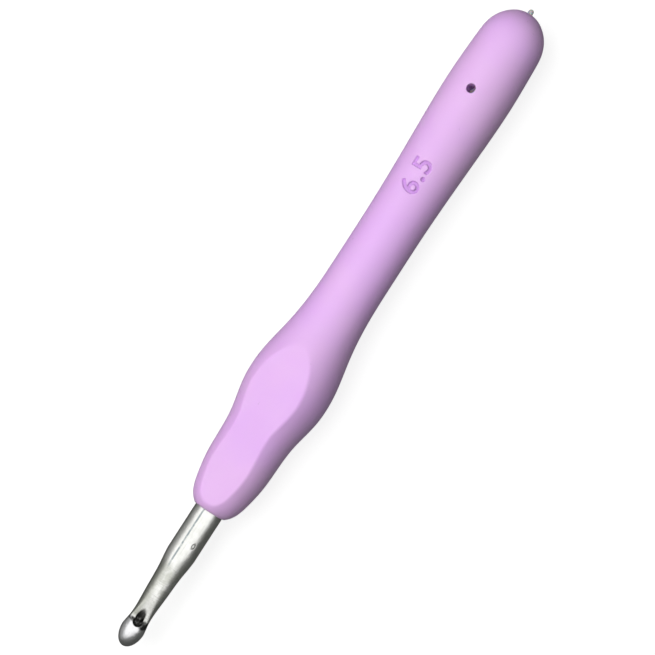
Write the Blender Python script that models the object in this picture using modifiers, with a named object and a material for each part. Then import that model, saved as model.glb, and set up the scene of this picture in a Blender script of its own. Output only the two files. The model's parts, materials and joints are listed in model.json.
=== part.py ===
"""Crochet hook with a soft over-moulded grip, as three separate pieces.

The pieces are the aluminium hook, the rigid core that holds its tang, and the
soft grip moulded around both. The object lies along X with the hook's tip at
+X and the thumb rest facing +Z. Stations are millimetres from the
tip along the axis. The origin is midway along, on the surface it lies on.
"""

import math

import bpy
import bmesh
import numpy as np
from mathutils import Matrix, Vector

MM = 0.001
GAP = 0.3

# Lengths along the axis, from the tip.
TOTAL_LENGTH = 160.0
GRIP_FRONT = 33.9
GRIP_END = 158.9

# The hook: a rounded tip, then head, throat, taper and shoulder up to the shaft.
SHAFT_RADIUS = 3.25
HEAD_STATION = 4.2
HOOK_KNOTS = (
    (HEAD_STATION, 2.62),
    (4.9, 2.54),
    (5.7, 2.37),
    (6.6, 2.26),
    (8.2, 2.19),
    (11.2, 2.33),
    (15.0, 2.55),
    (18.8, 2.80),
    (20.7, 3.04),
    (22.8, SHAFT_RADIUS),
)

# The mouth, seen from the side: a round floor under the lip and a straight run-out.
# It faces up and a little to +Y, because the hook sits slightly turned in its handle.
MOUTH_ROLL = math.radians(15.0)
MOUTH_FLOOR_STATION = 6.95
MOUTH_FLOOR_HEIGHT = 2.0
MOUTH_FLOOR_RADIUS = 0.8
MOUTH_RUN_OUT_ANGLE = math.radians(12.0)
LIP_LEAN_ANGLE = math.radians(9.0)
MOUTH_REACH = 7.0

# The throat: a narrower round groove in the mouth's floor, with a ball end under the lip.
THROAT_STATION = 6.9
THROAT_HEIGHT = 1.2
THROAT_RADIUS = 0.85
THROAT_RUN_OUT_ANGLE = math.radians(34.0)

# The lip's notch: a round scoop from above, which leaves the lip two small corners.
NOTCH_STATION = 6.35
NOTCH_HEIGHT = 1.9
NOTCH_RADIUS = 1.1

SCOOP_REACH = 10.0

# The tang, hidden in the core: thinner than the shaft, with two flats against turning.
TANG_START = 50.0
TANG_END = 92.0
TANG_RADIUS = 2.5
TANG_FLAT_START = 54.0
TANG_FLAT_HALF_WIDTH = 1.8

# The core: a collar, a ribbed sleeve around the tang, a shank and a thin tail.
CORE_FRONT = 44.0
COLLAR_END = 48.0
COLLAR_RADIUS = 4.35
SLEEVE_END = 94.0
SLEEVE_RADIUS = 4.0
RIB_STATIONS = (58.0, 70.0, 82.0)
RIB_WIDTH = 2.0
RIB_RADIUS = 4.7
SHANK_START = 98.0
SHANK_END = 151.0
SHANK_RADIUS = 3.2
TAIL_START = 155.0
TAIL_RADIUS = 0.6

# The grip: a round nose, a first swell, the main bulge, a waist, an end swell and a dome.
NOSE_SPHERE_RADIUS = 6.0
NOSE_RIM_RADIUS = 3.75
NOSE_END = 36.7
GRIP_KNOTS = (
    (NOSE_END, 5.70),
    (38.4, 6.17),
    (40.4, 6.67),
    (44.0, 7.20),
    (49.0, 7.42),
    (54.0, 7.74),
    (59.5, 8.84),
    (64.6, 9.40),
    (70.2, 8.93),
    (77.0, 7.66),
    (84.0, 6.84),
    (95.0, 6.60),
    (106.0, 6.61),
    (119.0, 6.96),
    (130.0, 7.42),
    (140.0, 7.62),
    (150.5, 7.20),
)

# The thumb rest and its twin underneath: planes that slope down towards the hook.
REST_STATION = 45.0
REST_HEIGHT = 5.83
REST_SLOPE = 0.0844

# The holes that the mould's support pins leave, above and below.
PIN_HOLE_STATION = 138.2
PIN_HOLE_RADIUS = 1.0

HOOK_SEGMENTS = 32
CORE_SEGMENTS = 24
GRIP_SEGMENTS = 48
SHARP_ANGLE = math.radians(35.0)


def clear_scene():
    for item in list(bpy.data.objects):
        bpy.data.objects.remove(item, do_unlink=True)


def new_collection(name):
    collection = bpy.data.collections.new(name)
    bpy.context.scene.collection.children.link(collection)
    return collection


def principled(name, color, roughness, metallic):
    material = bpy.data.materials.new(name)
    material.use_nodes = True
    material.diffuse_color = (*color, 1.0)
    shader = material.node_tree.nodes["Principled BSDF"]
    shader.inputs["Base Color"].default_value = (*color, 1.0)
    shader.inputs["Roughness"].default_value = roughness
    shader.inputs["Metallic"].default_value = metallic
    return material


def spline_radius(knots):
    """A function of station: the natural cubic spline through the knots."""
    stations, radii = np.array(knots).T
    spans = np.diff(stations)
    slopes = np.diff(radii) / spans
    count = len(stations)
    system = np.eye(count)
    bend = np.zeros(count)
    for i in range(1, count - 1):
        system[i, i - 1] = spans[i - 1]
        system[i, i] = 2.0 * (spans[i - 1] + spans[i])
        system[i, i + 1] = spans[i]
        bend[i] = 6.0 * (slopes[i] - slopes[i - 1])
    bend = np.linalg.solve(system, bend)

    def radius(station):
        i = int(np.clip(np.searchsorted(stations, station) - 1, 0, count - 2))
        left = (station - stations[i]) / spans[i]
        right = 1.0 - left
        curve = (left**3 - left) * bend[i + 1] + (right**3 - right) * bend[i]
        return right * radii[i] + left * radii[i + 1] + curve * spans[i] ** 2 / 6.0

    return radius


def sampled(radius, start, end, count):
    return [(station, radius(station)) for station in np.linspace(start, end, count)]


def quarter_ellipse(pole, center, radius, inner, count):
    """From the inner radius near the pole out to the full radius at the centre station."""
    points = []
    first = math.asin(inner / radius)
    for angle in np.linspace(first, math.pi / 2, count):
        points.append((center + (pole - center) * math.cos(angle), radius * math.sin(angle)))
    return points


def hook_outline():
    tip = quarter_ellipse(0.0, HEAD_STATION, HOOK_KNOTS[0][1], 0.0, 9)
    body = sampled(spline_radius(HOOK_KNOTS), HEAD_STATION, HOOK_KNOTS[-1][0], 20)
    tang = [
        (TANG_START, SHAFT_RADIUS),
        (TANG_START, TANG_RADIUS),
        (TANG_END, TANG_RADIUS),
        (TANG_END, 0.0),
    ]
    return tip + body[1:] + tang


def tang_space_outline():
    """The room that the core leaves for the shaft and the tang."""
    return [
        (CORE_FRONT - 1.0, 0.0),
        (CORE_FRONT - 1.0, SHAFT_RADIUS + GAP),
        (TANG_START + GAP, SHAFT_RADIUS + GAP),
        (TANG_START + GAP, TANG_RADIUS + GAP),
        (TANG_END + GAP, TANG_RADIUS + GAP),
        (TANG_END + GAP, 0.0),
    ]


def core_side(gap):
    """The core's outer side, front to back, or the grip's bore where a gap is given."""
    points = [
        (CORE_FRONT - gap, COLLAR_RADIUS + gap),
        (COLLAR_END + gap, COLLAR_RADIUS + gap),
        (COLLAR_END + gap, SLEEVE_RADIUS + gap),
    ]
    for station in RIB_STATIONS:
        points += [
            (station - gap, SLEEVE_RADIUS + gap),
            (station - gap, RIB_RADIUS + gap),
            (station + RIB_WIDTH + gap, RIB_RADIUS + gap),
            (station + RIB_WIDTH + gap, SLEEVE_RADIUS + gap),
        ]
    points += [
        (SLEEVE_END, SLEEVE_RADIUS + gap),
        (SHANK_START, SHANK_RADIUS + gap),
        (SHANK_END, SHANK_RADIUS + gap),
        (TAIL_START, TAIL_RADIUS + gap),
    ]
    return points


def core_outline():
    nub = quarter_ellipse(TOTAL_LENGTH, TOTAL_LENGTH - TAIL_RADIUS, TAIL_RADIUS, 0.0, 5)
    return [(CORE_FRONT, 0.0)] + core_side(0.0) + nub[::-1]


def nose_outline():
    """The grip's round front, a piece of a sphere from its rim back to the nose's end."""
    center = GRIP_FRONT + math.sqrt(NOSE_SPHERE_RADIUS**2 - NOSE_RIM_RADIUS**2)
    points = []
    for station in np.linspace(GRIP_FRONT, NOSE_END, 7):
        radius = math.sqrt(NOSE_SPHERE_RADIUS**2 - (center - station) ** 2)
        points.append((station, radius))
    return points


def grip_outline():
    nose = nose_outline()
    body = sampled(spline_radius(GRIP_KNOTS), NOSE_END, GRIP_KNOTS[-1][0], 46)
    dome_start, dome_radius = GRIP_KNOTS[-1]
    dome = quarter_ellipse(GRIP_END, dome_start, dome_radius, TAIL_RADIUS + GAP, 9)
    bore = [
        (GRIP_FRONT, SHAFT_RADIUS + GAP),
        (CORE_FRONT - GAP, SHAFT_RADIUS + GAP),
    ]
    return nose[:-1] + body + dome[::-1][1:] + core_side(GAP)[::-1] + bore[::-1]


def along_x(station):
    return TOTAL_LENGTH / 2 - station


def turned(name, outline, segments, closed=False):
    """A body of revolution about X from (station, radius) points listed tip to end.

    The outline starts half a segment round, so that the piece lies on a facet and
    not on an edge between two.
    """
    start = Matrix.Rotation(math.pi / segments, 3, "Z")
    mesh = bpy.data.meshes.new(name)
    points = [
        start @ Vector((radius * MM, 0.0, along_x(station) * MM)) for station, radius in outline
    ]
    edges = [(i, i + 1) for i in range(len(points) - 1)]
    if closed:
        edges.append((len(points) - 1, 0))
    mesh.from_pydata(points, edges, [])
    item = bpy.data.objects.new(name, mesh)
    item.rotation_euler = (0.0, math.pi / 2, 0.0)
    screw = item.modifiers.new("Revolve", "SCREW")
    screw.angle = 2.0 * math.pi
    screw.steps = segments
    screw.render_steps = segments
    screw.use_merge_vertices = True
    screw.merge_threshold = 0.000001
    return item


def box_cutter(name, size, center, tilt=0.0):
    """A box of the size given in millimetres, turned about Y."""
    mesh = bpy.data.meshes.new(name)
    shape = bmesh.new()
    bmesh.ops.create_cube(shape, size=1.0)
    shape.transform(Matrix.Diagonal((*[length * MM for length in size], 1.0)))
    shape.to_mesh(mesh)
    shape.free()
    item = bpy.data.objects.new(name, mesh)
    item.location = [length * MM for length in center]
    item.rotation_euler = (0.0, tilt, 0.0)
    return item


def rest_cutter(name, side):
    """The block above (side 1) or below (side -1) a thumb rest's sloping plane."""
    length = 70.0
    depth = 12.0
    angle = math.atan(REST_SLOPE)
    across = depth / 2.0
    center = (
        along_x(REST_STATION) + across * math.sin(angle),
        0.0,
        side * (REST_HEIGHT + across * math.cos(angle)),
    )
    return box_cutter(name, (length, 40.0, depth), center, side * angle)


def tang_flat_cutter(name, side, gap):
    """The block that leaves one flat on the tang (side is 1 or -1, along Y)."""
    start = TANG_FLAT_START + gap
    length = TANG_END - start + 1.0 + gap
    width = 4.0
    center = (
        along_x(start + length / 2.0),
        side * (TANG_FLAT_HALF_WIDTH + gap + width / 2.0),
        0.0,
    )
    return box_cutter(name, (length, width, 8.0), center)


def pin_hole_cutter(name):
    """One rod through both walls of the grip; the core is not cut by it."""
    mesh = bpy.data.meshes.new(name)
    shape = bmesh.new()
    bmesh.ops.create_cone(
        shape,
        cap_ends=True,
        segments=24,
        radius1=PIN_HOLE_RADIUS * MM,
        radius2=PIN_HOLE_RADIUS * MM,
        depth=24.0 * MM,
    )
    shape.to_mesh(mesh)
    shape.free()
    item = bpy.data.objects.new(name, mesh)
    item.location = (along_x(PIN_HOLE_STATION) * MM, 0.0, 0.0)
    return item


def mouth_outline():
    """The mouth's side view as (x, z) in millimetres, round the floor from the lip."""
    center_x = along_x(MOUTH_FLOOR_STATION)
    lip_start = -LIP_LEAN_ANGLE
    floor_end = -(math.pi / 2 + MOUTH_RUN_OUT_ANGLE)
    points = []
    for angle in np.linspace(lip_start, floor_end, 9):
        points.append((
            center_x + MOUTH_FLOOR_RADIUS * math.cos(angle),
            MOUTH_FLOOR_HEIGHT + MOUTH_FLOOR_RADIUS * math.sin(angle),
        ))
    floor_x, floor_z = points[-1]
    lip_x, lip_z = points[0]
    points.append((
        floor_x - MOUTH_REACH * math.cos(MOUTH_RUN_OUT_ANGLE),
        floor_z + MOUTH_REACH * math.sin(MOUTH_RUN_OUT_ANGLE),
    ))
    lip_rise = points[-1][1] - lip_z
    points.append((lip_x - lip_rise * math.tan(LIP_LEAN_ANGLE), points[-1][1]))
    return points


def mouth_cutter(name):
    """The mouth's outline as a slab that runs right across the hook."""
    curve = bpy.data.curves.new(name, "CURVE")
    curve.dimensions = "2D"
    curve.fill_mode = "BOTH"
    curve.extrude = 5.0 * MM
    outline = mouth_outline()
    spline = curve.splines.new("POLY")
    spline.points.add(len(outline) - 1)
    for point, (x, z) in zip(spline.points, outline):
        point.co = (x * MM, z * MM, 0.0, 1.0)
    spline.use_cyclic_u = True
    drawn = bpy.data.objects.new(name, curve)
    drawn.rotation_euler = (math.pi / 2, 0.0, 0.0)
    bpy.context.scene.collection.objects.link(drawn)
    bpy.context.view_layer.update()
    mesh = bpy.data.meshes.new_from_object(drawn.evaluated_get(bpy.context.evaluated_depsgraph_get()))
    shape = bmesh.new()
    shape.from_mesh(mesh)
    bmesh.ops.remove_doubles(shape, verts=shape.verts, dist=0.000001)
    bmesh.ops.recalc_face_normals(shape, faces=shape.faces)
    shape.to_mesh(mesh)
    shape.free()
    item = bpy.data.objects.new(name, mesh)
    item.matrix_world = drawn.matrix_world
    bpy.data.objects.remove(drawn, do_unlink=True)
    return item


def scoop_cutter(name, station, height, radius, rise):
    """A round bar with a ball end, rising from its middle towards the shaft."""
    middle = TOTAL_LENGTH / 2
    ball = quarter_ellipse(middle - radius, middle, radius, 0.0, 7)
    end = middle + SCOOP_REACH
    item = turned(name, ball + [(end, radius), (end, 0.0)], 24)
    item.location = (along_x(station) * MM, 0.0, height * MM)
    item.rotation_euler.y += rise
    return item


def mouth_cutters():
    """The slab, the throat's groove and the lip's notch, rolled to where the mouth faces."""
    cutters = [
        mouth_cutter("mouth"),
        scoop_cutter("throat", THROAT_STATION, THROAT_HEIGHT, THROAT_RADIUS, THROAT_RUN_OUT_ANGLE),
        scoop_cutter("notch", NOTCH_STATION, NOTCH_HEIGHT, NOTCH_RADIUS, math.pi / 2),
    ]
    for cutter in cutters:
        cutter.matrix_basis = Matrix.Rotation(-MOUTH_ROLL, 4, "X") @ cutter.matrix_basis
    return cutters


def cut(item, cutter, cutters):
    cutters.objects.link(cutter)
    cutter.hide_render = True
    cutter.display_type = "WIRE"
    boolean = item.modifiers.new(cutter.name, "BOOLEAN")
    boolean.operation = "DIFFERENCE"
    boolean.solver = "EXACT"
    boolean.object = cutter


def freeze(item):
    """Apply the modifiers, and shade the round sides smooth."""
    bpy.context.view_layer.update()
    mesh = bpy.data.meshes.new_from_object(item.evaluated_get(bpy.context.evaluated_depsgraph_get()))
    item.modifiers.clear()
    item.data = mesh
    mesh.shade_smooth()
    mesh.set_sharp_from_angle(angle=SHARP_ANGLE)


def make_hook(pieces, cutters):
    item = turned("hook", hook_outline(), HOOK_SEGMENTS)
    pieces.objects.link(item)
    for cutter in mouth_cutters():
        cut(item, cutter, cutters)
    for side in (1, -1):
        cut(item, tang_flat_cutter(f"tang_flat_{side:+d}", side, 0.0), cutters)
    freeze(item)
    item.data.materials.append(principled("satin_aluminium", (0.62, 0.62, 0.60), 0.32, 1.0))
    return item


def make_tang_space(cutters):
    item = turned("tang_space", tang_space_outline(), HOOK_SEGMENTS)
    cutters.objects.link(item)
    for side in (1, -1):
        cut(item, tang_flat_cutter(f"tang_space_flat_{side:+d}", side, GAP), cutters)
    freeze(item)
    cutters.objects.unlink(item)
    return item


def make_handle_core(pieces, cutters):
    item = turned("handle_core", core_outline(), CORE_SEGMENTS)
    pieces.objects.link(item)
    cut(item, make_tang_space(cutters), cutters)
    freeze(item)
    item.data.materials.append(principled("natural_plastic", (0.62, 0.58, 0.60), 0.40, 0.0))
    return item


def make_grip(pieces, cutters):
    item = turned("grip", grip_outline(), GRIP_SEGMENTS, closed=True)
    pieces.objects.link(item)
    cut(item, rest_cutter("rest_above", 1), cutters)
    cut(item, rest_cutter("rest_below", -1), cutters)
    cut(item, pin_hole_cutter("pin_holes"), cutters)
    freeze(item)
    item.data.materials.append(principled("soft_lilac_rubber", (0.76, 0.47, 0.90), 0.50, 0.0))
    return item


def stand_on_ground(items, pieces):
    """Hang the pieces on an empty, raised so that the lowest point touches z = 0."""
    bpy.context.view_layer.update()
    lowest = min((item.matrix_world @ corner.co).z for item in items for corner in item.data.vertices)
    axis = bpy.data.objects.new("crochet_hook_axis", None)
    axis.location = (0.0, 0.0, -lowest)
    pieces.objects.link(axis)
    for item in items:
        item.parent = axis


def main():
    clear_scene()
    pieces = new_collection("crochet_hook")
    cutters = new_collection("cutters")
    items = [
        make_hook(pieces, cutters),
        make_handle_core(pieces, cutters),
        make_grip(pieces, cutters),
    ]
    stand_on_ground(items, pieces)


main()
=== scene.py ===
"""The looks of the crochet hook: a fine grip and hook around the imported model.

The grip and the hook are made again with finer surfaces, and the core keeps its CAD mesh
under a new material. All lengths are metres, in the frame's axes: the object lies along X
with the hook's tip at +X and the thumb rest facing +Z. Angles round the axis start at +Z
and turn towards +Y.
"""

import itertools
import json
import math

import bpy
import numpy as np
from mathutils import Matrix, Vector
from mathutils.bvhtree import BVHTree


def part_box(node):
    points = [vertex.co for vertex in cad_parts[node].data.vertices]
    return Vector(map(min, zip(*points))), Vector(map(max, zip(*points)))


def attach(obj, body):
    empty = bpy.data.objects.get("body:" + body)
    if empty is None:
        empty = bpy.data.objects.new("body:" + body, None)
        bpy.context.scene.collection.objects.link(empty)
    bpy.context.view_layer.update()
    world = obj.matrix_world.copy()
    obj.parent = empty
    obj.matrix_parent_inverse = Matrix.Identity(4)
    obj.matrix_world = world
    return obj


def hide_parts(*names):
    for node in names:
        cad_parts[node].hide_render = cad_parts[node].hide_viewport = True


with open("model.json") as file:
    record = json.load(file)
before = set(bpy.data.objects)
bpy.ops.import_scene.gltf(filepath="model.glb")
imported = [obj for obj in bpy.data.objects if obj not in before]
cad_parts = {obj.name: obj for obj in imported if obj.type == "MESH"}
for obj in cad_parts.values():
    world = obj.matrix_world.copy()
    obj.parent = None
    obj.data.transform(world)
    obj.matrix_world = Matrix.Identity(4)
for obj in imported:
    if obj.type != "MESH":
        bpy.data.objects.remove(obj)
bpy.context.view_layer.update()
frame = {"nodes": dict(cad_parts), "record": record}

MM = 0.001

# ------------------------------------------------------------------ places in the frame

HOOK_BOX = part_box("hook")
GRIP_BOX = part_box("grip")
AXIS_Z = (HOOK_BOX[0].z + HOOK_BOX[1].z) / 2
TIP_X = HOOK_BOX[1].x
TANG_END_X = HOOK_BOX[0].x
NOSE_X = GRIP_BOX[1].x
DOME_X = GRIP_BOX[0].x
RESTS = {m["name"]: m for m in frame["record"]["mounts"]}

# ------------------------------------------------------------------ dimensions of the grip

SHAFT_RADIUS = 3.25 * MM
NOSE_LENGTH = 2.8 * MM
DOME_LENGTH = 8.4 * MM

# The bore follows the CAD solid as far as the core goes, and then fits the shaft closely.
SNUG_BORE_X = NOSE_X - 9 * MM
SHAFT_CLEARANCE = 0.02 * MM

# The rests' edges are rounded, and a low rim runs along them.
REST_EDGE = 0.45 * MM
REST_RIM = 0.09 * MM
REST_RIM_WIDTH = 0.36 * MM
REST_RIM_REACH = 2.0 * MM

# The size mark is pressed into the top of the grip, with soft edges.
MARK_TEXT = "6.5"
MARK_X = TIP_X - 116.7 * MM
MARK_HEIGHT = 4.3 * MM
MARK_SPACING = 1.12
MARK_DEPTH = 0.42 * MM
MARK_BOLD = 0.09 * MM
MARK_EDGE = 0.10 * MM
MARK_MARGIN = 0.4 * MM

PIN_HOLE_X = TIP_X - 138.2 * MM
PIN_HOLE_RADIUS = 1.0 * MM
PIN_HOLE_FLARE = 0.22 * MM

# ------------------------------------------------------------------ dimensions of the hook

HEAD_LENGTH = 4.2 * MM
HEAD_X = TIP_X - HEAD_LENGTH
TAPER_END_X = TIP_X - 22.8 * MM
TANG_START_X = TIP_X - 50.0 * MM
TANG_FLATS_X = TIP_X - 54.0 * MM
TANG_RADIUS = 2.5 * MM
TANG_HALF_WIDTH = 1.8 * MM

# The mouth, throat and notch, as the CAD model has them, but for the notch's 0.1 mm aside.
MOUTH_ROLL = math.radians(15.0)
MOUTH_X = TIP_X - 6.95 * MM
MOUTH_Z = 2.0 * MM
MOUTH_RADIUS = 0.8 * MM
MOUTH_SLOPE = math.radians(12.0)
LIP_LEAN = math.radians(9.0)
THROAT_X = TIP_X - 6.9 * MM
THROAT_Z = 1.2 * MM
THROAT_RADIUS = 0.85 * MM
THROAT_SLOPE = math.radians(34.0)
NOTCH_X = TIP_X - 6.35 * MM
NOTCH_Y = 0.1 * MM
NOTCH_Z = 1.9 * MM
NOTCH_RADIUS = 1.1 * MM

# The cuts flow into each other, and their edges are polished round.
CUT_BLEND = 0.20 * MM
EDGE_BLEND = 0.28 * MM

# A faint ridge along the top of the head, from the mouth to the tip.
RIDGE_ANGLE = math.radians(18.0)
RIDGE_SPREAD = math.radians(42.0)
RIDGE_RISE = 0.04
RIDGE_START = TIP_X - 8.0 * MM
RIDGE_FULL = TIP_X - 6.0 * MM

# ------------------------------------------------------------------ marks on the metal

# The forging line, a little off the top of the shaft, fades out where the taper starts.
SEAM_Y = -0.25 * MM
SEAM_WANDER = 0.15 * MM
SEAM_CORE = 0.08 * MM
SEAM_EDGE = 0.30 * MM
SEAM_FADE = (TIP_X - 20.5 * MM, TIP_X - 19.0 * MM)

# A small oval pit beside it, drawn as a ring.
PIT = (TIP_X - 25.9 * MM, 2.05 * MM, AXIS_Z + 2.52 * MM)
PIT_OVAL = 0.6
PIT_RING = 0.42 * MM
PIT_CORE = 0.08 * MM
PIT_EDGE = 0.20 * MM

# The finish changes from drawn to forged on the taper, and to polished on the head.
FORGED_FADE = (TIP_X - 21.5 * MM, TIP_X - 18.5 * MM)
POLISHED_FADE = (TIP_X - 7.6 * MM, TIP_X - 5.6 * MM)
# Painted shade: the forged taper is painted darker towards -Y, between these places.
SHADED_SIDE = (-1.4 * MM, 0.7 * MM)

# Painted shade, with some tarnish, darkens the mouth's trough and one corner; painted shadow
# lies at the lip's foot and along one edge. The corner's has no limit in height, so it also
# leaves a painted dark spot of shade on the head's underside.
SHADE_AND_TARNISH_SOFT = 0.22 * MM
SHADE_AND_TARNISH_START = (TIP_X - 9.4 * MM, TIP_X - 7.9 * MM)
SHADE_AND_TARNISH_DEEP = (TIP_X - 7.8 * MM, TIP_X - 6.9 * MM)
SHADE_AND_TARNISH_SHALLOW = 0.72
LIP_FOOT_SOFT = 0.15 * MM
LIP_FOOT_FADE = (TIP_X - 6.75 * MM, TIP_X - 6.4 * MM)
LIP_CORNER = (TIP_X - 6.0 * MM, 1.5 * MM)
LIP_CORNER_FADE = (0.7 * MM, 1.25 * MM)
LIP_LINE_X = TIP_X - 5.6 * MM
LIP_LINE_SLANT = 0.25
LIP_LINE_FADE = (0.06 * MM, 0.32 * MM)
LIP_LINE_RISE = 0.3 * MM

# ------------------------------------------------------------------ mesh steps

# The meshes are fine round the size mark and at the head, and coarser elsewhere.
FINE_STEP = 0.09 * MM
GRIP_STEP = 0.55 * MM
GRIP_TURN_STEP = 0.05
HOOK_STEP = 1.1 * MM
HOOK_LINES_ACROSS = 66
HOOK_MARGIN = 0.3 * MM
HOOK_FINE_FROM_X = TIP_X - 13.0 * MM
STEP_GROWTH = 8


# ------------------------------------------------------------------ measuring the frame


def tree_of(node):
    """A CAD node's surface, ready for casting rays at."""
    mesh = frame["nodes"][node].data
    points = [v.co.copy() for v in mesh.vertices]
    return BVHTree.FromPolygons(points, [tuple(p.vertices) for p in mesh.polygons])


def outer_radius(tree, x):
    """The CAD solid's radius at x, seen from the +Y side."""
    hit = tree.ray_cast(Vector((x, 50 * MM, AXIS_Z)), Vector((0, -1, 0)))[0]
    return hit.y


def inner_radius(tree, x):
    """The radius of the CAD solid's bore at x."""
    hit = tree.ray_cast(Vector((x, 0, AXIS_Z)), Vector((0, 1, 0)))[0]
    return hit.y


def spline(knots, values):
    """The natural cubic spline through the knots, as a function of an array."""
    knots = np.asarray(knots, float)
    values = np.asarray(values, float)
    spans = np.diff(knots)
    slopes = np.diff(values) / spans
    count = len(knots)
    system = np.eye(count)
    bend = np.zeros(count)
    for i in range(1, count - 1):
        system[i, i - 1 : i + 2] = spans[i - 1], 2 * (spans[i - 1] + spans[i]), spans[i]
        bend[i] = 6 * (slopes[i] - slopes[i - 1])
    bend = np.linalg.solve(system, bend)

    def at(where):
        i = np.clip(np.searchsorted(knots, where) - 1, 0, count - 2)
        left = (where - knots[i]) / spans[i]
        right = 1 - left
        curve = (left**3 - left) * bend[i + 1] + (right**3 - right) * bend[i]
        return right * values[i] + left * values[i + 1] + curve * spans[i] ** 2 / 6

    return at


# ------------------------------------------------------------------ mesh helpers


def mesh_object(name, points, faces):
    """A new smooth-shaded object from arrays of points and faces."""
    mesh = bpy.data.meshes.new(name)
    mesh.from_pydata(points.tolist(), [], faces.tolist())
    mesh.shade_smooth()
    item = bpy.data.objects.new(name, mesh)
    bpy.context.scene.collection.objects.link(item)
    return item


def point_attribute(item, name, values):
    """Stores one number at each point, for a material to read."""
    attribute = item.data.attributes.new(name, "FLOAT", "POINT")
    attribute.data.foreach_set("value", np.asarray(values, np.float32))


def soft_min(a, b, blend):
    """The smaller of two values, with the corner between them rounded off."""
    near = np.clip(blend - np.abs(a - b), 0, None) / blend
    return np.minimum(a, b) - near**2 * blend / 4


def soft_max(a, b, blend):
    """The larger of two values, with the corner between them rounded off."""
    return -soft_min(-a, -b, blend)


def smooth_step(low, high, value):
    """A smooth change from 0 to 1 as the value goes from low to high."""
    t = np.clip((value - low) / (high - low), 0, 1)
    return t * t * (3 - 2 * t)


def net_points(value, xs, ys, zs):
    """The cells that a surface passes through, and a point amid the crossings of each."""
    inside = value < 0
    corners = [np.array(c) for c in itertools.product((0, 1), repeat=3)]
    cell_shape = np.array(value.shape) - 1
    filled = np.zeros(cell_shape, int)
    for c in corners:
        filled += inside[tuple(slice(o, o + n) for o, n in zip(c, cell_shape))]
    cells = np.argwhere((filled > 0) & (filled < len(corners)))
    total = np.zeros((len(cells), 3))
    hits = np.zeros(len(cells))
    for a, b in itertools.combinations(corners, 2):
        if abs(a - b).sum() != 1:
            continue
        at_a = cells + a
        at_b = cells + b
        value_a = value[tuple(at_a.T)]
        value_b = value[tuple(at_b.T)]
        crossed = (value_a < 0) != (value_b < 0)
        share = np.where(crossed, value_a / np.where(crossed, value_a - value_b, 1), 0)
        place_a = np.stack([xs[at_a[:, 0]], ys[at_a[:, 1]], zs[at_a[:, 2]]], axis=1)
        place_b = np.stack([xs[at_b[:, 0]], ys[at_b[:, 1]], zs[at_b[:, 2]]], axis=1)
        total += np.where(crossed[:, None], place_a + share[:, None] * (place_b - place_a), 0)
        hits += crossed
    return cells, total / hits[:, None]


def net_quads(inside, index):
    """One quad for each grid edge that the surface crosses, joining the four cells round it."""
    cell_shape = np.array(index.shape)
    quads = []
    for axis in range(3):
        step, side, up = np.roll(np.eye(3, dtype=int), axis, axis=0)
        lower = inside[tuple(slice(0, n) for n in cell_shape + 1 - step)]
        upper = inside[tuple(slice(o, None) for o in step)]
        starts = np.argwhere(lower != upper)
        ring = [starts - side - up, starts - up, starts, starts - side]
        quad = np.stack([index[tuple(r.T)] for r in ring], axis=1)
        solid_below = inside[tuple(starts.T)]
        quads.append(np.where(solid_below[:, None], quad, quad[:, ::-1]))
    return np.concatenate(quads)


def surface_net(field, xs, ys, zs):
    """Points and quads where the field crosses zero on a grid with uneven steps."""
    value = field(np.stack(np.meshgrid(xs, ys, zs, indexing="ij"), axis=-1))
    cells, points = net_points(value, xs, ys, zs)
    index = -np.ones(np.array(value.shape) - 1, int)
    index[tuple(cells.T)] = np.arange(len(cells))
    return points, net_quads(value < 0, index)


def evened(points, quads):
    """The points of a net, each moved halfway to the middle of its neighbours."""
    total = np.zeros_like(points)
    count = np.zeros(len(points))
    pairs = np.stack([quads, np.roll(quads, -1, axis=1)], axis=-1).reshape(-1, 2)
    for a, b in (pairs.T, pairs.T[::-1]):
        np.add.at(total, a, points[b])
        np.add.at(count, a, 1)
    return 0.5 * points + 0.5 * total / count[:, None]


def put_on(field, points):
    """The points moved along the field's slope towards its zero surface."""
    h = 0.01 * MM
    slope = [(field(points + h * axis) - field(points - h * axis)) / (2 * h) for axis in np.eye(3)]
    slope = np.stack(slope, axis=1)
    return points - field(points)[:, None] * slope / (slope**2).sum(1, keepdims=True)


def settle_on(field, points, quads, rounds=3):
    """Evens out the points of a net and puts them exactly on the field's zero surface."""
    for _ in range(rounds):
        points = put_on(field, evened(points, quads))
    for _ in range(rounds):
        points = put_on(field, points)
    return points


# ------------------------------------------------------------------ materials


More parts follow.
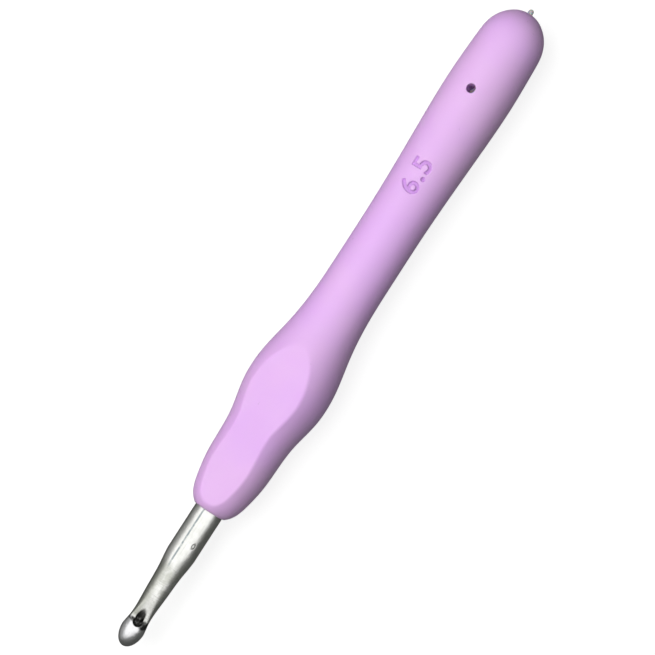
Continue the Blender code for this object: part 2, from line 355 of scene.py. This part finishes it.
class Nodes:
    """A short way to write a node tree."""

    def __init__(self, name):
        self.material = bpy.data.materials.new(name)
        self.material.use_nodes = True
        self.tree = self.material.node_tree
        self.shader = self.tree.nodes["Principled BSDF"]
        self.place = self.tree.nodes.new("ShaderNodeTexCoord").outputs["Object"]

    def link(self, value, socket):
        """Joins an output to a socket, or sets the socket to a constant."""
        if isinstance(value, bpy.types.NodeSocket):
            self.tree.links.new(value, socket)
        elif value is not None:
            socket.default_value = value

    def set(self, **values):
        """Sets the shader's own sockets by name, with _ for a space."""
        for name, value in values.items():
            self.link(value, self.shader.inputs[name.replace("_", " ")])

    def stretched(self, scale, turn=(0, 0, 0)):
        """The object's coordinates, scaled and turned, for a noise with a grain direction."""
        node = self.tree.nodes.new("ShaderNodeMapping")
        self.link(self.place, node.inputs["Vector"])
        node.inputs["Scale"].default_value = scale
        node.inputs["Rotation"].default_value = turn
        return node.outputs["Vector"]

    def noise(self, scale, detail=2.0, rough=0.5, vector=None):
        node = self.tree.nodes.new("ShaderNodeTexNoise")
        self.link(vector or self.place, node.inputs["Vector"])
        node.inputs["Scale"].default_value = scale
        node.inputs["Detail"].default_value = detail
        node.inputs["Roughness"].default_value = rough
        return node.outputs["Fac"]

    def ramp(self, value, low, high, start=0.0, end=1.0):
        """A smooth change from start to end as the value goes from low to high."""
        node = self.tree.nodes.new("ShaderNodeMapRange")
        node.interpolation_type = "SMOOTHSTEP"
        self.link(value, node.inputs["Value"])
        names = ("From Min", "From Max", "To Min", "To Max")
        for name, number in zip(names, (low, high, start, end)):
            node.inputs[name].default_value = number
        return node.outputs["Result"]

    def math(self, operation, a, b=None, c=None):
        node = self.tree.nodes.new("ShaderNodeMath")
        node.operation = operation
        for value, socket in zip((a, b, c), node.inputs):
            self.link(value, socket)
        return node.outputs["Value"]

    def mix(self, factor, a, b):
        """Colour a, or colour b where the factor is 1."""
        node = self.tree.nodes.new("ShaderNodeMix")
        node.data_type = "RGBA"
        self.link(factor, node.inputs["Factor"])
        for value, socket in zip((a, b), (node.inputs[6], node.inputs[7])):
            self.link((*value, 1.0) if isinstance(value, tuple) else value, socket)
        return node.outputs[2]

    def axes(self):
        """The object's x, y and z."""
        node = self.tree.nodes.new("ShaderNodeSeparateXYZ")
        self.link(self.place, node.inputs["Vector"])
        return node.outputs

    def distance(self, point, vector=None):
        node = self.tree.nodes.new("ShaderNodeVectorMath")
        node.operation = "DISTANCE"
        self.link(vector or self.place, node.inputs[0])
        node.inputs[1].default_value = point
        return node.outputs["Value"]

    def attribute(self, name):
        node = self.tree.nodes.new("ShaderNodeAttribute")
        node.attribute_name = name
        return node.outputs["Fac"]

    def bump(self, height, depth, strength=1.0, normal=None):
        node = self.tree.nodes.new("ShaderNodeBump")
        self.link(height, node.inputs["Height"])
        node.inputs["Distance"].default_value = depth
        node.inputs["Strength"].default_value = strength
        self.link(normal, node.inputs["Normal"])
        return node.outputs["Normal"]


LILAC = (0.755, 0.435, 0.875)
PINKISH_LILAC = (0.780, 0.470, 0.855)
# Painted shade for the size mark's recess.
RECESS_SHADE_LILAC = (0.50, 0.23, 0.64)
DUST = (0.40, 0.26, 0.46)

ALUMINIUM = (0.74, 0.74, 0.71)
BRIGHT_ALUMINIUM = (0.86, 0.86, 0.835)
POLISHED_ALUMINIUM = (0.80, 0.795, 0.83)
STREAKED_ALUMINIUM = (0.45, 0.45, 0.43)
RINGED_ALUMINIUM = (0.42, 0.42, 0.39)
WORN_ALUMINIUM = (0.50, 0.51, 0.45)
SHADED_SIDE_ALUMINIUM = (0.40, 0.41, 0.36)
SEAM_BLUE_GREY = (0.16, 0.21, 0.23)
PIT_GREY = (0.13, 0.13, 0.12)
# Painted shade, with some tarnish, for the mouth.
SHADE_AND_TARNISH = (0.018, 0.018, 0.016)

MILKY = (0.80, 0.79, 0.81)
PALE_MILKY = (0.90, 0.89, 0.91)
TAIL_GREY = (0.50, 0.49, 0.51)


def lilac_rubber():
    """Soft-touch rubber: matt, slightly see-through, with a fine moulded grain."""
    m = Nodes("lilac_rubber")
    patches = m.ramp(m.noise(45, 3), 0.35, 0.65)
    colour = m.mix(patches, LILAC, PINKISH_LILAC)
    # Painted shade: the size mark's recess is painted a darker lilac.
    colour = m.mix(m.math("MULTIPLY", m.attribute("recess"), 0.8), colour, RECESS_SHADE_LILAC)
    dust = m.ramp(m.noise(750, 2, 0.6), 0.745, 0.765)
    colour = m.mix(m.math("MULTIPLY", dust, 0.35), colour, DUST)
    waves = m.bump(m.noise(220, 2), 0.06 * MM, 0.5)
    grain = m.bump(m.noise(5200, 2, 0.6), 0.012 * MM, 0.8, waves)
    rough = m.ramp(m.noise(120, 4, 0.6), 0.3, 0.7, 0.46, 0.58)
    m.set(Base_Color=colour, Roughness=rough, Normal=grain)
    m.set(Subsurface_Weight=0.10, Subsurface_Scale=1.0 * MM, Specular_IOR_Level=0.45)
    m.shader.inputs["Subsurface Radius"].default_value = (1.0, 0.45, 1.0)
    m.set(Sheen_Weight=0.12, Sheen_Roughness=0.4)
    return m.material


def forging_line(m):
    """Where the fine line along the top of the shaft is, wandering and broken a little."""
    x, y, z = m.axes()
    wander = m.math("MULTIPLY_ADD", m.noise(260, 3), 2 * SEAM_WANDER, -SEAM_WANDER)
    off_line = m.math("ABSOLUTE", m.math("ADD", m.math("SUBTRACT", y, SEAM_Y), wander))
    seam = m.ramp(off_line, SEAM_CORE, SEAM_EDGE, 1, 0)
    seam = m.math("MULTIPLY", seam, m.ramp(z, AXIS_Z, AXIS_Z + SHAFT_RADIUS / 2))
    seam = m.math("MULTIPLY", seam, m.ramp(x, *SEAM_FADE, 1, 0))
    return m.math("MULTIPLY", seam, m.ramp(m.noise(700, 3, 0.6), 0.38, 0.55, 0.5, 1))


def small_pit(m):
    """Where the small pit's ring is."""
    centre = (PIT[0] * PIT_OVAL, *PIT[1:])
    off_centre = m.distance(centre, m.stretched((PIT_OVAL, 1, 1)))
    ragged = m.math("MULTIPLY_ADD", m.noise(2500, 2), 0.2 * MM, off_centre)
    off_ring = m.math("ABSOLUTE", m.math("SUBTRACT", ragged, PIT_RING))
    return m.ramp(off_ring, PIT_CORE, PIT_EDGE, 1, 0)


def aluminium_colour(m, marks):
    """Bright metal, worn where it was forged and painted darker on its -Y side there, with dark
    marks on top.
    """
    x, y, _ = m.axes()
    satin = marks["satin"]
    colour = m.mix(m.ramp(marks["cloudy"], 0.3, 0.7), ALUMINIUM, BRIGHT_ALUMINIUM)
    worn = m.ramp(m.noise(380, 4, 0.65), 0.42, 0.62, 0.0, 0.6)
    colour = m.mix(m.math("MULTIPLY", worn, satin), colour, WORN_ALUMINIUM)
    # Painted shade: the forged taper's -Y side is painted darker.
    painted_side_shade = m.ramp(y, *SHADED_SIDE, 0.85, 0.0)
    colour = m.mix(m.math("MULTIPLY", painted_side_shade, satin), colour, SHADED_SIDE_ALUMINIUM)
    rings = m.ramp(marks["turned"], 0.45, 0.70, 0.0, 0.35)
    colour = m.mix(m.math("MULTIPLY", rings, satin), colour, RINGED_ALUMINIUM)
    polished = m.math("MULTIPLY", m.ramp(x, *POLISHED_FADE), 0.6)
    colour = m.mix(polished, colour, POLISHED_ALUMINIUM)
    colour = m.mix(m.ramp(marks["drawn"], 0.55, 0.75, 0.0, 0.3), colour, STREAKED_ALUMINIUM)
    colour = m.mix(m.math("MULTIPLY", marks["seam"], 0.8), colour, SEAM_BLUE_GREY)
    colour = m.mix(m.math("MULTIPLY", marks["pit"], 0.7), colour, PIT_GREY)
    # Painted shade, with some tarnish, darkens the mouth by the throat attribute.
    blotches = m.ramp(m.noise(1100, 3, 0.6), 0.35, 0.6, 0.84, 1.0)
    return m.mix(m.math("MULTIPLY", m.attribute("throat"), blotches), colour, SHADE_AND_TARNISH)


def aluminium_relief(m, marks):
    """Clouds, drawing lines, turned rings, scratches, and the dents of the line and pit."""
    across = m.stretched((420, 9000, 9000), (0.2, 0.35, 0.5))
    scratches = m.ramp(m.noise(1.0, 2, 0.5, across), 0.66, 0.72)
    normal = m.bump(marks["cloudy"], 0.06 * MM, 0.6)
    normal = m.bump(marks["drawn"], 0.010 * MM, 0.7, normal)
    normal = m.bump(m.math("MULTIPLY", marks["turned"], marks["satin"]), 0.025 * MM, 0.8, normal)
    normal = m.bump(scratches, 0.008 * MM, 0.6, normal)
    return m.bump(m.math("ADD", marks["seam"], marks["pit"]), -0.06 * MM, 0.7, normal)


def satin_aluminium():
    """Drawn aluminium with a forging line, a satin forged taper and a polished head."""
    m = Nodes("satin_aluminium")
    x = m.axes()[0]
    marks = {
        "drawn": m.noise(1.0, 3, 0.6, m.stretched((160, 5200, 5200))),
        "turned": m.noise(1.0, 3, 0.6, m.stretched((4200, 450, 450))),
        "cloudy": m.noise(520, 4, 0.6),
        "satin": m.math("SUBTRACT", m.ramp(x, *FORGED_FADE), m.ramp(x, *POLISHED_FADE)),
        "seam": forging_line(m),
        "pit": small_pit(m),
    }
    rough = m.ramp(marks["drawn"], 0.3, 0.7, 0.31, 0.42)
    rough = m.math("MULTIPLY_ADD", marks["satin"], 0.05, rough)
    m.set(Base_Color=aluminium_colour(m, marks), Roughness=rough)
    m.set(Normal=aluminium_relief(m, marks), Metallic=1.0)
    return m.material


def natural_plastic():
    """The core's unpigmented plastic, a little milky, and darker on its visible tail."""
    m = Nodes("natural_plastic")
    cloudy = m.noise(900, 3)
    tail = m.ramp(m.axes()[0], DOME_X - 0.6 * MM, DOME_X + 0.6 * MM, 1, 0)
    colour = m.mix(m.ramp(cloudy, 0.3, 0.7), MILKY, PALE_MILKY)
    colour = m.mix(tail, colour, TAIL_GREY)
    m.set(Base_Color=colour, Roughness=0.32, Normal=m.bump(cloudy, 0.04 * MM, 0.6))
    m.set(Subsurface_Weight=0.5, Subsurface_Scale=1.5 * MM)
    return m.material


def pale_floor():
    """A matt floor that glows, so that it looks white all over."""
    m = Nodes("pale_floor")
    m.set(Base_Color=(0.24, 0.24, 0.24, 1.0), Roughness=0.9, Specular_IOR_Level=0.1)
    m.set(Emission_Color=(1.0, 1.0, 1.0, 1.0), Emission_Strength=0.86)
    return m.material


# ------------------------------------------------------------------ the grip


def grip_side(tree):
    """The grip's outer side from nose to dome: x and radius by length along it, and its length.

    It stops just short of both ends, where a ray across the axis would miss the solid.
    """
    nose_turn = np.linspace(0.02, math.pi / 2, 5)
    dome_turn = np.linspace(0.0, 0.98 * math.pi / 2, 7)
    gap = 3 * MM
    nose = NOSE_X - NOSE_LENGTH * (1 - np.cos(nose_turn))
    body = np.linspace(nose[-1] - gap, DOME_X + DOME_LENGTH + gap, 30)
    dome = DOME_X + DOME_LENGTH * (1 - np.sin(dome_turn))
    xs = np.concatenate([nose, body, dome])
    radii = np.array([outer_radius(tree, x) for x in xs])
    along = np.concatenate([[0], np.cumsum(np.hypot(np.diff(xs), np.diff(radii)))])
    return spline(along, xs), spline(along, radii), along[-1]


def grip_bore(tree):
    """The bore from the dome to the nose as (x, radius), with its straight runs joined."""
    step = 0.25 * MM
    straight = 0.002 * MM
    xs = np.arange(DOME_X + 0.1 * MM, SNUG_BORE_X, step)
    points = [(x, inner_radius(tree, x)) for x in xs]
    kept = [points[0]]
    for before, here, after in zip(points, points[1:], points[2:]):
        if abs(before[1] - 2 * here[1] + after[1]) > straight:
            kept.append(here)
    snug = SHAFT_RADIUS + SHAFT_CLEARANCE
    kept += [(xs[-1], kept[-1][1]), (xs[-1], snug)]
    return kept + [(NOSE_X - 0.35 * MM, snug), (NOSE_X - 0.1 * MM, snug + 0.12 * MM)]


def rest_height(name, x):
    """How far a rest's plane is from the axis at x."""
    point = RESTS[name]["pos_m"]
    normal = RESTS[name]["axis"]
    height = point[2] - (x - point[0]) * normal[0] / normal[2] - AXIS_Z
    return abs(height)


def with_rests(x, angle, radius):
    """The body's radius with both rests cut in, their edges rounded and faintly raised."""
    least_cosine = 0.05
    least_run = 0.05 * MM
    least_slope = 0.1
    no_rest = 1.0
    for name, side in (("thumb_rest", 1), ("finger_rest", -1)):
        cosine = side * np.cos(angle)
        flat = rest_height(name, x) / np.maximum(cosine, least_cosine)
        flat = np.where(cosine > least_cosine, flat, no_rest)
        cut = radius - flat
        across = np.gradient(cut, axis=1) / (np.gradient(angle, axis=1) * radius)
        along = np.gradient(cut, axis=0) / (np.abs(np.gradient(x, axis=0)) + least_run)
        distance = cut / np.sqrt(across**2 + along**2 + least_slope**2)
        rim = REST_RIM * np.exp(-((distance / REST_RIM_WIDTH) ** 2))
        radius = soft_min(radius, flat, REST_EDGE) + rim * (np.abs(cut) < REST_RIM_REACH)
    return radius


def evaluated_mesh(item):
    """A new mesh of an object as its modifiers or its text leave it."""
    bpy.context.view_layer.update()
    graph = bpy.context.evaluated_depsgraph_get()
    return bpy.data.meshes.new_from_object(item.evaluated_get(graph))


def mark_outline():
    """The size mark's outlines, as line segments in the plane, centred on its middle."""
    curve = bpy.data.curves.new("size_mark", "FONT")
    curve.body = MARK_TEXT
    curve.align_x = "CENTER"
    curve.align_y = "CENTER"
    curve.space_character = MARK_SPACING
    item = bpy.data.objects.new("size_mark", curve)
    bpy.context.scene.collection.objects.link(item)
    mesh = evaluated_mesh(item)
    points = np.array([v.co.xy for v in mesh.vertices])
    used = {}
    for polygon in mesh.polygons:
        for key in polygon.edge_keys:
            used[key] = used.get(key, 0) + 1
    segments = points[[key for key, count in used.items() if count == 1]]
    bpy.data.objects.remove(item, do_unlink=True)
    low = segments.min((0, 1))
    high = segments.max((0, 1))
    return (segments - (low + high) / 2) * MARK_HEIGHT / (high[1] - low[1])


def distance_to_mark(points, segments):
    """The distance from flat points to the outlines, negative inside a digit."""
    no_length = 1e-14
    level = 1e-12
    nearest = np.full(len(points), 1.0)
    crossings = np.zeros(len(points), int)
    for start, end in segments:
        run = end - start
        length = run @ run
        if length < no_length:
            continue
        share = np.clip((points - start) @ run / length, 0, 1)
        off = points - start - share[:, None] * run
        nearest = np.minimum(nearest, np.linalg.norm(off, axis=1))
        spans = (start[1] > points[:, 1]) != (end[1] > points[:, 1])
        if abs(run[1]) > level:
            reach = start[0] + (points[:, 1] - start[1]) * run[0] / run[1]
            crossings += spans & (points[:, 0] < reach)
    return np.where(crossings % 2 == 1, -nearest, nearest)


def uneven(start, end, coarse, fine, low, high):
    """Steps from start to end, fine between low and high and coarse elsewhere."""
    sign = 1 if end > start else -1
    places = [start]
    while sign * (end - places[-1]) > 0:
        here = places[-1]
        outside = max(low - here, here - high, 0.0)
        step = fine + (coarse - fine) * min(outside / (STEP_GROWTH * coarse), 1.0)
        places.append(here + sign * step)
    places[-1] = end
    return np.array(places)


def grip_lines(side_x, length, mark_radius, half_mark):
    """The places along the grip's side and round it where its mesh has lines."""
    samples = np.linspace(0, length, 4000)
    mark_along = np.interp(-MARK_X, -side_x(samples), samples)
    low = mark_along - half_mark[0]
    high = mark_along + half_mark[0]
    along = uneven(0.0, length, GRIP_STEP, FINE_STEP, low, high)
    half_angle = half_mark[1] / mark_radius
    fine_turn = FINE_STEP / mark_radius
    angles = uneven(-math.pi, math.pi, GRIP_TURN_STEP, fine_turn, -half_angle, half_angle)
    return along, angles[:-1]


def mark_recess(x, angle, segments, mark_radius, half_mark):
    """How far the size mark is pressed in at each point, from 0 to 1."""
    flat = np.stack([(MARK_X - x).ravel(), (-angle * mark_radius).ravel()], axis=1)
    near = (np.abs(flat) < half_mark).all(1)
    recess = np.zeros(len(flat))
    distance = distance_to_mark(flat[near], segments) - MARK_BOLD
    recess[near] = 1 - smooth_step(-MARK_EDGE, MARK_EDGE, distance)
    return recess.reshape(x.shape)


def shell_mesh(name, x, radius, angles):
    """A closed tube whose rows of points run along its outside and back through its bore."""
    angle = np.broadcast_to(angles, x.shape)
    across = radius * np.sin(angle)
    height = AXIS_Z + radius * np.cos(angle)
    points = np.stack([x, across, height], axis=-1)
    here = np.arange(x.size).reshape(x.shape)
    next_row = np.roll(here, -1, axis=0)
    quads = np.stack(
        [here, next_row, np.roll(next_row, -1, axis=1), np.roll(here, -1, axis=1)], axis=-1
    )
    return mesh_object(name, points.reshape(-1, 3), quads.reshape(-1, 4))


def make_grip(material):
    """The soft grip, with its rests, size mark, bore and pin holes."""
    tree = tree_of("grip")
    side_x, side_radius, length = grip_side(tree)
    segments = mark_outline()
    half_mark = np.abs(segments).max((0, 1)) + MARK_MARGIN
    mark_radius = outer_radius(tree, MARK_X)

    along, angles = grip_lines(side_x, length, mark_radius, half_mark)
    x, angle = np.meshgrid(side_x(along), angles, indexing="ij")
    radius = with_rests(x, angle, np.broadcast_to(side_radius(along)[:, None], x.shape))
    recess = mark_recess(x, angle, segments, mark_radius, half_mark)
    radius = radius - MARK_DEPTH * recess

    bore = np.array(grip_bore(tree))
    bore_x = np.repeat(bore[:, :1], len(angles), axis=1)
    bore_radius = np.repeat(bore[:, 1:], len(angles), axis=1)
    all_x = np.concatenate([x, bore_x])
    all_radius = np.concatenate([radius, bore_radius])
    item = shell_mesh("grip_soft", all_x, all_radius, angles)
    point_attribute(item, "recess", np.concatenate([recess, np.zeros_like(bore_x)]).ravel())
    drill_pin_holes(item, outer_radius(tree, PIN_HOLE_X))
    item.data.materials.append(material)
    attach(item, "root")
    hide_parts("grip")
    return item


def pin_hole_outline(surface):
    """The (radius, height) outline of both pin holes, with a soft flare at the surface."""
    flare = []
    for turn in np.linspace(0, math.pi / 2, 7):
        radius = PIN_HOLE_RADIUS + PIN_HOLE_FLARE * (1 - math.cos(turn))
        height = surface - PIN_HOLE_FLARE * (1 - math.sin(turn))
        flare.append((radius, height))
    flare.append((PIN_HOLE_RADIUS + 3 * PIN_HOLE_FLARE, surface + 2 * PIN_HOLE_FLARE))
    side = flare[::-1] + [(r, -z) for r, z in flare]
    return [(0.0, side[0][1])] + side + [(0.0, side[-1][1])]


def pin_hole_cutter(surface, count=40):
    """The upright turned piece that cuts the pin holes."""
    spin = np.arange(count) * 2 * math.pi / count
    rings = []
    for r, z in pin_hole_outline(surface):
        height = np.full(count, AXIS_Z + z)
        rings.append(np.stack([PIN_HOLE_X + r * np.cos(spin), r * np.sin(spin), height], 1))
    here = np.arange(len(rings) * count).reshape(-1, count)
    beside = np.roll(here, -1, axis=1)
    quads = np.stack([here[:-1], here[1:], beside[1:], beside[:-1]], axis=-1)
    cutter = mesh_object("pin_hole_cutter", np.concatenate(rings), quads.reshape(-1, 4))
    weld = cutter.modifiers.new("Weld", "WELD")
    weld.merge_threshold = 0.001 * MM
    return cutter


def drill_pin_holes(item, surface):
    """Cuts the support pins' two holes and leaves them open to the core."""
    cutter = pin_hole_cutter(surface)
    boolean = item.modifiers.new("Pin holes", "BOOLEAN")
    boolean.operation = "DIFFERENCE"
    boolean.solver = "EXACT"
    boolean.object = cutter
    mesh = evaluated_mesh(item)
    item.modifiers.clear()
    item.data = mesh
    mesh.shade_smooth()
    bpy.data.objects.remove(cutter, do_unlink=True)


# ------------------------------------------------------------------ the hook


def facing_mouth(p):
    """The points in the mouth's own frame: along, across, and up out of the mouth."""
    across = p[..., 1]
    up = p[..., 2] - AXIS_Z
    cosine = math.cos(MOUTH_ROLL)
    sine = math.sin(MOUTH_ROLL)
    return np.stack([p[..., 0], across * cosine - up * sine, across * sine + up * cosine], axis=-1)


def ridged(rho, p):
    """The distance from the axis, made less along the head's ridge, so that it stands proud."""
    angle = np.arctan2(p[..., 1], p[..., 2] - AXIS_Z)
    ridge = np.clip(1 - np.abs(angle - RIDGE_ANGLE) / RIDGE_SPREAD, 0, 1)
    ridge = ridge * smooth_step(RIDGE_START, RIDGE_FULL, p[..., 0])
    return rho / (1 + RIDGE_RISE * ridge * smooth_step(0.3 * MM, 1.2 * MM, rho))


def body_field():
    """The distance to the hook's body, without its mouth: head, taper, shaft and tang."""
    tree = tree_of("hook")
    facet = SHAFT_RADIUS / outer_radius(tree, TAPER_END_X - 2 * MM)
    stations = np.linspace(TAPER_END_X, HEAD_X, 17)
    side = spline(stations, [outer_radius(tree, s) * facet for s in stations])
    head_radius = outer_radius(tree, HEAD_X) * facet

    def head(x, rho):
        """The distance to the half ellipsoid from the widest place to the tip."""
        ahead = (x - HEAD_X) / HEAD_LENGTH
        reach = np.hypot(ahead, rho / head_radius)
        steep = np.hypot(ahead / HEAD_LENGTH, rho / head_radius**2)
        return reach * (reach - 1) / np.maximum(steep, 1e-6)

    def body(p):
        x = p[..., 0]
        rho = ridged(np.hypot(p[..., 1], p[..., 2] - AXIS_Z), p)
        flank = rho - side(np.clip(x, TAPER_END_X, HEAD_X))
        outside = np.where(x > HEAD_X, head(x, rho), flank)
        front = soft_max(outside, TANG_START_X - x, 0.3 * MM)
        flat = np.where(x < TANG_FLATS_X, np.abs(p[..., 1]) - TANG_HALF_WIDTH, -1.0)
        tang = soft_max(np.maximum(rho - TANG_RADIUS, flat), TANG_END_X - x, 0.4 * MM)
        return np.minimum(front, np.maximum(tang, x - TANG_START_X - 1 * MM))

    return body


def bar(p, x, y, z, slope, radius):
    """The distance to a round bar that starts at x, y, z and rises towards the shaft."""
    dx = p[..., 0] - x
    dz = p[..., 2] - z
    along = np.maximum(-dx * math.cos(slope) + dz * math.sin(slope), 0)
    off_x = dx + along * math.cos(slope)
    off_z = dz - along * math.sin(slope)
    return np.sqrt(off_x**2 + (p[..., 1] - y) ** 2 + off_z**2) - radius


def slot(p):
    """The distance to the mouth's side view: a wedge with a round bottom."""
    dx = p[..., 0] - MOUTH_X
    dz = p[..., 2] - MOUTH_Z
    lip = dx * math.cos(LIP_LEAN) + dz * math.sin(LIP_LEAN)
    floor = -(dx * math.sin(MOUTH_SLOPE) + dz * math.cos(MOUTH_SLOPE))
    lip_along = dz * math.cos(LIP_LEAN) - dx * math.sin(LIP_LEAN)
    floor_along = dz * math.sin(MOUTH_SLOPE) - dx * math.cos(MOUTH_SLOPE)
    corner = np.hypot(dx, dz)
    inside = np.maximum(lip, floor)
    to_lip = np.where(lip_along > 0, np.abs(lip), corner)
    to_floor = np.where(floor_along > 0, np.abs(floor), corner)
    return np.where(inside < 0, inside, np.minimum(to_lip, to_floor)) - MOUTH_RADIUS


def trough(p):
    """The distance to the throat that runs back from the lip, joined with the notch in it."""
    throat = bar(p, THROAT_X, 0.0, THROAT_Z, THROAT_SLOPE, THROAT_RADIUS)
    notch = bar(p, NOTCH_X, NOTCH_Y, NOTCH_Z, math.pi / 2, NOTCH_RADIUS)
    return soft_min(throat, notch, CUT_BLEND)


def hook_field():
    """The distance to the whole hook, negative inside."""
    body = body_field()

    def whole(p):
        turned = facing_mouth(p)
        mouth = soft_min(slot(turned), trough(turned), CUT_BLEND)
        return soft_max(body(p), -mouth, EDGE_BLEND)

    return whole


def mouth_shade_and_tarnish(points):
    """How dark each point is painted: shade and tarnish in trough and corner, shadow at lip's foot
    and edge.
    """
    turned = facing_mouth(points)
    x, across, up = turned.T
    # Painted shade, with some tarnish, in the trough.
    in_trough = 1 - smooth_step(0.0, SHADE_AND_TARNISH_SOFT, trough(turned))
    in_trough *= smooth_step(*SHADE_AND_TARNISH_START, x)
    in_trough *= SHADE_AND_TARNISH_SHALLOW + (1 - SHADE_AND_TARNISH_SHALLOW) * smooth_step(*SHADE_AND_TARNISH_DEEP, x)
    # Painted shadow in the round corner at the lip's foot.
    lip_foot = 1 - smooth_step(0.0, LIP_FOOT_SOFT, slot(turned))
    lip_foot *= smooth_step(*LIP_FOOT_FADE, x)
    # Painted shade, with some tarnish, round one corner of the lip.
    off_corner = np.hypot(x - LIP_CORNER[0], across - LIP_CORNER[1])
    corner = 1 - smooth_step(*LIP_CORNER_FADE, off_corner)
    # Painted shadow along the lip's slanting edge.
    off_line = np.abs(x - LIP_LINE_X - LIP_LINE_SLANT * across)
    lip_line = 1 - smooth_step(*LIP_LINE_FADE, off_line)
    lip_line *= smooth_step(-LIP_LINE_RISE, LIP_LINE_RISE, up) * (across < 0)
    return np.maximum.reduce([in_trough, 0.8 * lip_foot, 0.95 * corner, 0.75 * lip_line])


def make_hook(material):
    """The aluminium hook, with its mouth, from the tip to the hidden tang."""
    whole = hook_field()
    start = TIP_X + HOOK_MARGIN
    end = TANG_END_X - HOOK_MARGIN
    xs = uneven(start, end, HOOK_STEP, FINE_STEP, HOOK_FINE_FROM_X, start)[::-1]
    reach = SHAFT_RADIUS + HOOK_MARGIN
    ys = np.linspace(-reach, reach, HOOK_LINES_ACROSS)
    points, quads = surface_net(whole, xs, ys, AXIS_Z + ys)
    points = settle_on(whole, points, quads)
    item = mesh_object("hook_metal", points, quads)
    # The throat attribute holds the mouth's painted shade and tarnish.
    point_attribute(item, "throat", mouth_shade_and_tarnish(points))
    item.data.materials.append(material)
    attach(item, "root")
    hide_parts("hook")
    return item


# ------------------------------------------------------------------ floor, light and camera


ALONG_X = (1, 0, 0)

# Panels: where each one is, its width and height, and how bright it is.
KEY_PLACE = (0.03, -0.15, 0.55)
KEY_SIZE = (0.62, 0.5)
KEY_RADIANCE = 4.0
TENT_PLACE = (-0.462, 0.788, 0.6)
TENT_TURN = (-0.27, 0.96, 0)
TENT_SIZE = (3.59, 1.75)
TENT_RADIANCE = 1.26
CARD_PLACE = (0.0, -0.6, 0.2)
CARD_SIZE = (1.8, 0.6)
CARD_RADIANCE = 0.22
FILL_PLACE = (0, 0.7, 0.1)
FILL_SIZE = (1.2, 0.3)
FILL_RADIANCE = 1.1
FILL_COLOUR = (0.85, 1.0, 0.85)
WORLD_COLOUR = (0.96, 1.0, 0.93, 1.0)
WORLD_STRENGTH = 0.07

# The camera leans 15 degrees from vertical, and sees the axis running to the lower left.
VIEW_ROLL = math.radians(15.0)
AXIS_ON_SCREEN = math.radians(237.15)
VIEW_WIDTH = 138.6 * MM
LENS = 135.0
SENSOR = 36.0


def make_floor():
    """A wide pale floor, which neither lights the object nor shows in its reflections."""
    bpy.ops.mesh.primitive_plane_add(size=6.0)
    floor = bpy.context.object
    floor.name = "floor"
    floor.data.materials.append(pale_floor())
    floor.visible_diffuse = False
    floor.visible_glossy = False


def panel(name, centre, back, along, size, radiance, seen_by):
    """A soft white panel with its back turned to a direction, lighting one kind of ray."""
    data = bpy.data.lights.new(name, "AREA")
    data.shape = "RECTANGLE"
    data.size, data.size_y = size
    data.energy = radiance * math.pi * size[0] * size[1]
    item = bpy.data.objects.new(name, data)
    bpy.context.scene.collection.objects.link(item)
    back = Vector(back).normalized()
    along = Vector(along)
    right = (along - back * back.dot(along)).normalized()
    turn = Matrix((right, back.cross(right), back)).transposed().to_4x4()
    item.matrix_world = Matrix.Translation(centre) @ turn
    item.visible_camera = False
    item.visible_diffuse = seen_by == "diffuse"
    item.visible_glossy = seen_by == "glossy"
    return item


def make_lights():
    """A key from above, a tent and a card that the metal reflects, and a faint green fill."""
    world = bpy.data.worlds.new("studio")
    world.use_nodes = True
    background = world.node_tree.nodes["Background"]
    background.inputs["Color"].default_value = WORLD_COLOUR
    background.inputs["Strength"].default_value = WORLD_STRENGTH
    bpy.context.scene.world = world
    panel("key", KEY_PLACE, KEY_PLACE, ALONG_X, KEY_SIZE, KEY_RADIANCE, "diffuse")
    panel("tent", TENT_PLACE, (0, 0, 1), TENT_TURN, TENT_SIZE, TENT_RADIANCE, "glossy")
    panel("left_card", CARD_PLACE, (0, -1, 0), ALONG_X, CARD_SIZE, CARD_RADIANCE, "glossy")
    fill = panel("fill", FILL_PLACE, (0, 1, 0), ALONG_X, FILL_SIZE, FILL_RADIANCE, "diffuse")
    fill.data.color = FILL_COLOUR


def make_camera():
    """Looks down at the object from 15 degrees off vertical, with the tip at the lower left."""
    back = Vector((0, math.sin(VIEW_ROLL), math.cos(VIEW_ROLL)))
    along = Vector(ALONG_X)
    beside = back.cross(along)
    right = math.cos(AXIS_ON_SCREEN) * along - math.sin(AXIS_ON_SCREEN) * beside
    up = math.sin(AXIS_ON_SCREEN) * along + math.cos(AXIS_ON_SCREEN) * beside
    distance = VIEW_WIDTH * LENS / SENSOR
    data = bpy.data.cameras.new("camera")
    data.lens = LENS
    data.sensor_width = SENSOR
    data.clip_start = 0.01
    item = bpy.data.objects.new("camera", data)
    bpy.context.scene.collection.objects.link(item)
    place = Vector((0, 0, AXIS_Z)) + back * distance
    turn = Matrix((right, up, back)).transposed().to_4x4()
    item.matrix_world = Matrix.Translation(place) @ turn
    bpy.context.scene.camera = item


def finish_core():
    """The core keeps its CAD mesh and gets a milky plastic."""
    core = frame["nodes"]["handle_core"]
    core.data.materials.clear()
    core.data.materials.append(natural_plastic())


def main():
    """Makes the camera, the stage and the three pieces."""
    bpy.context.scene.view_settings.view_transform = "Standard"
    make_camera()
    make_floor()
    make_lights()
    make_grip(lilac_rubber())
    make_hook(satin_aluminium())
    finish_core()


main()
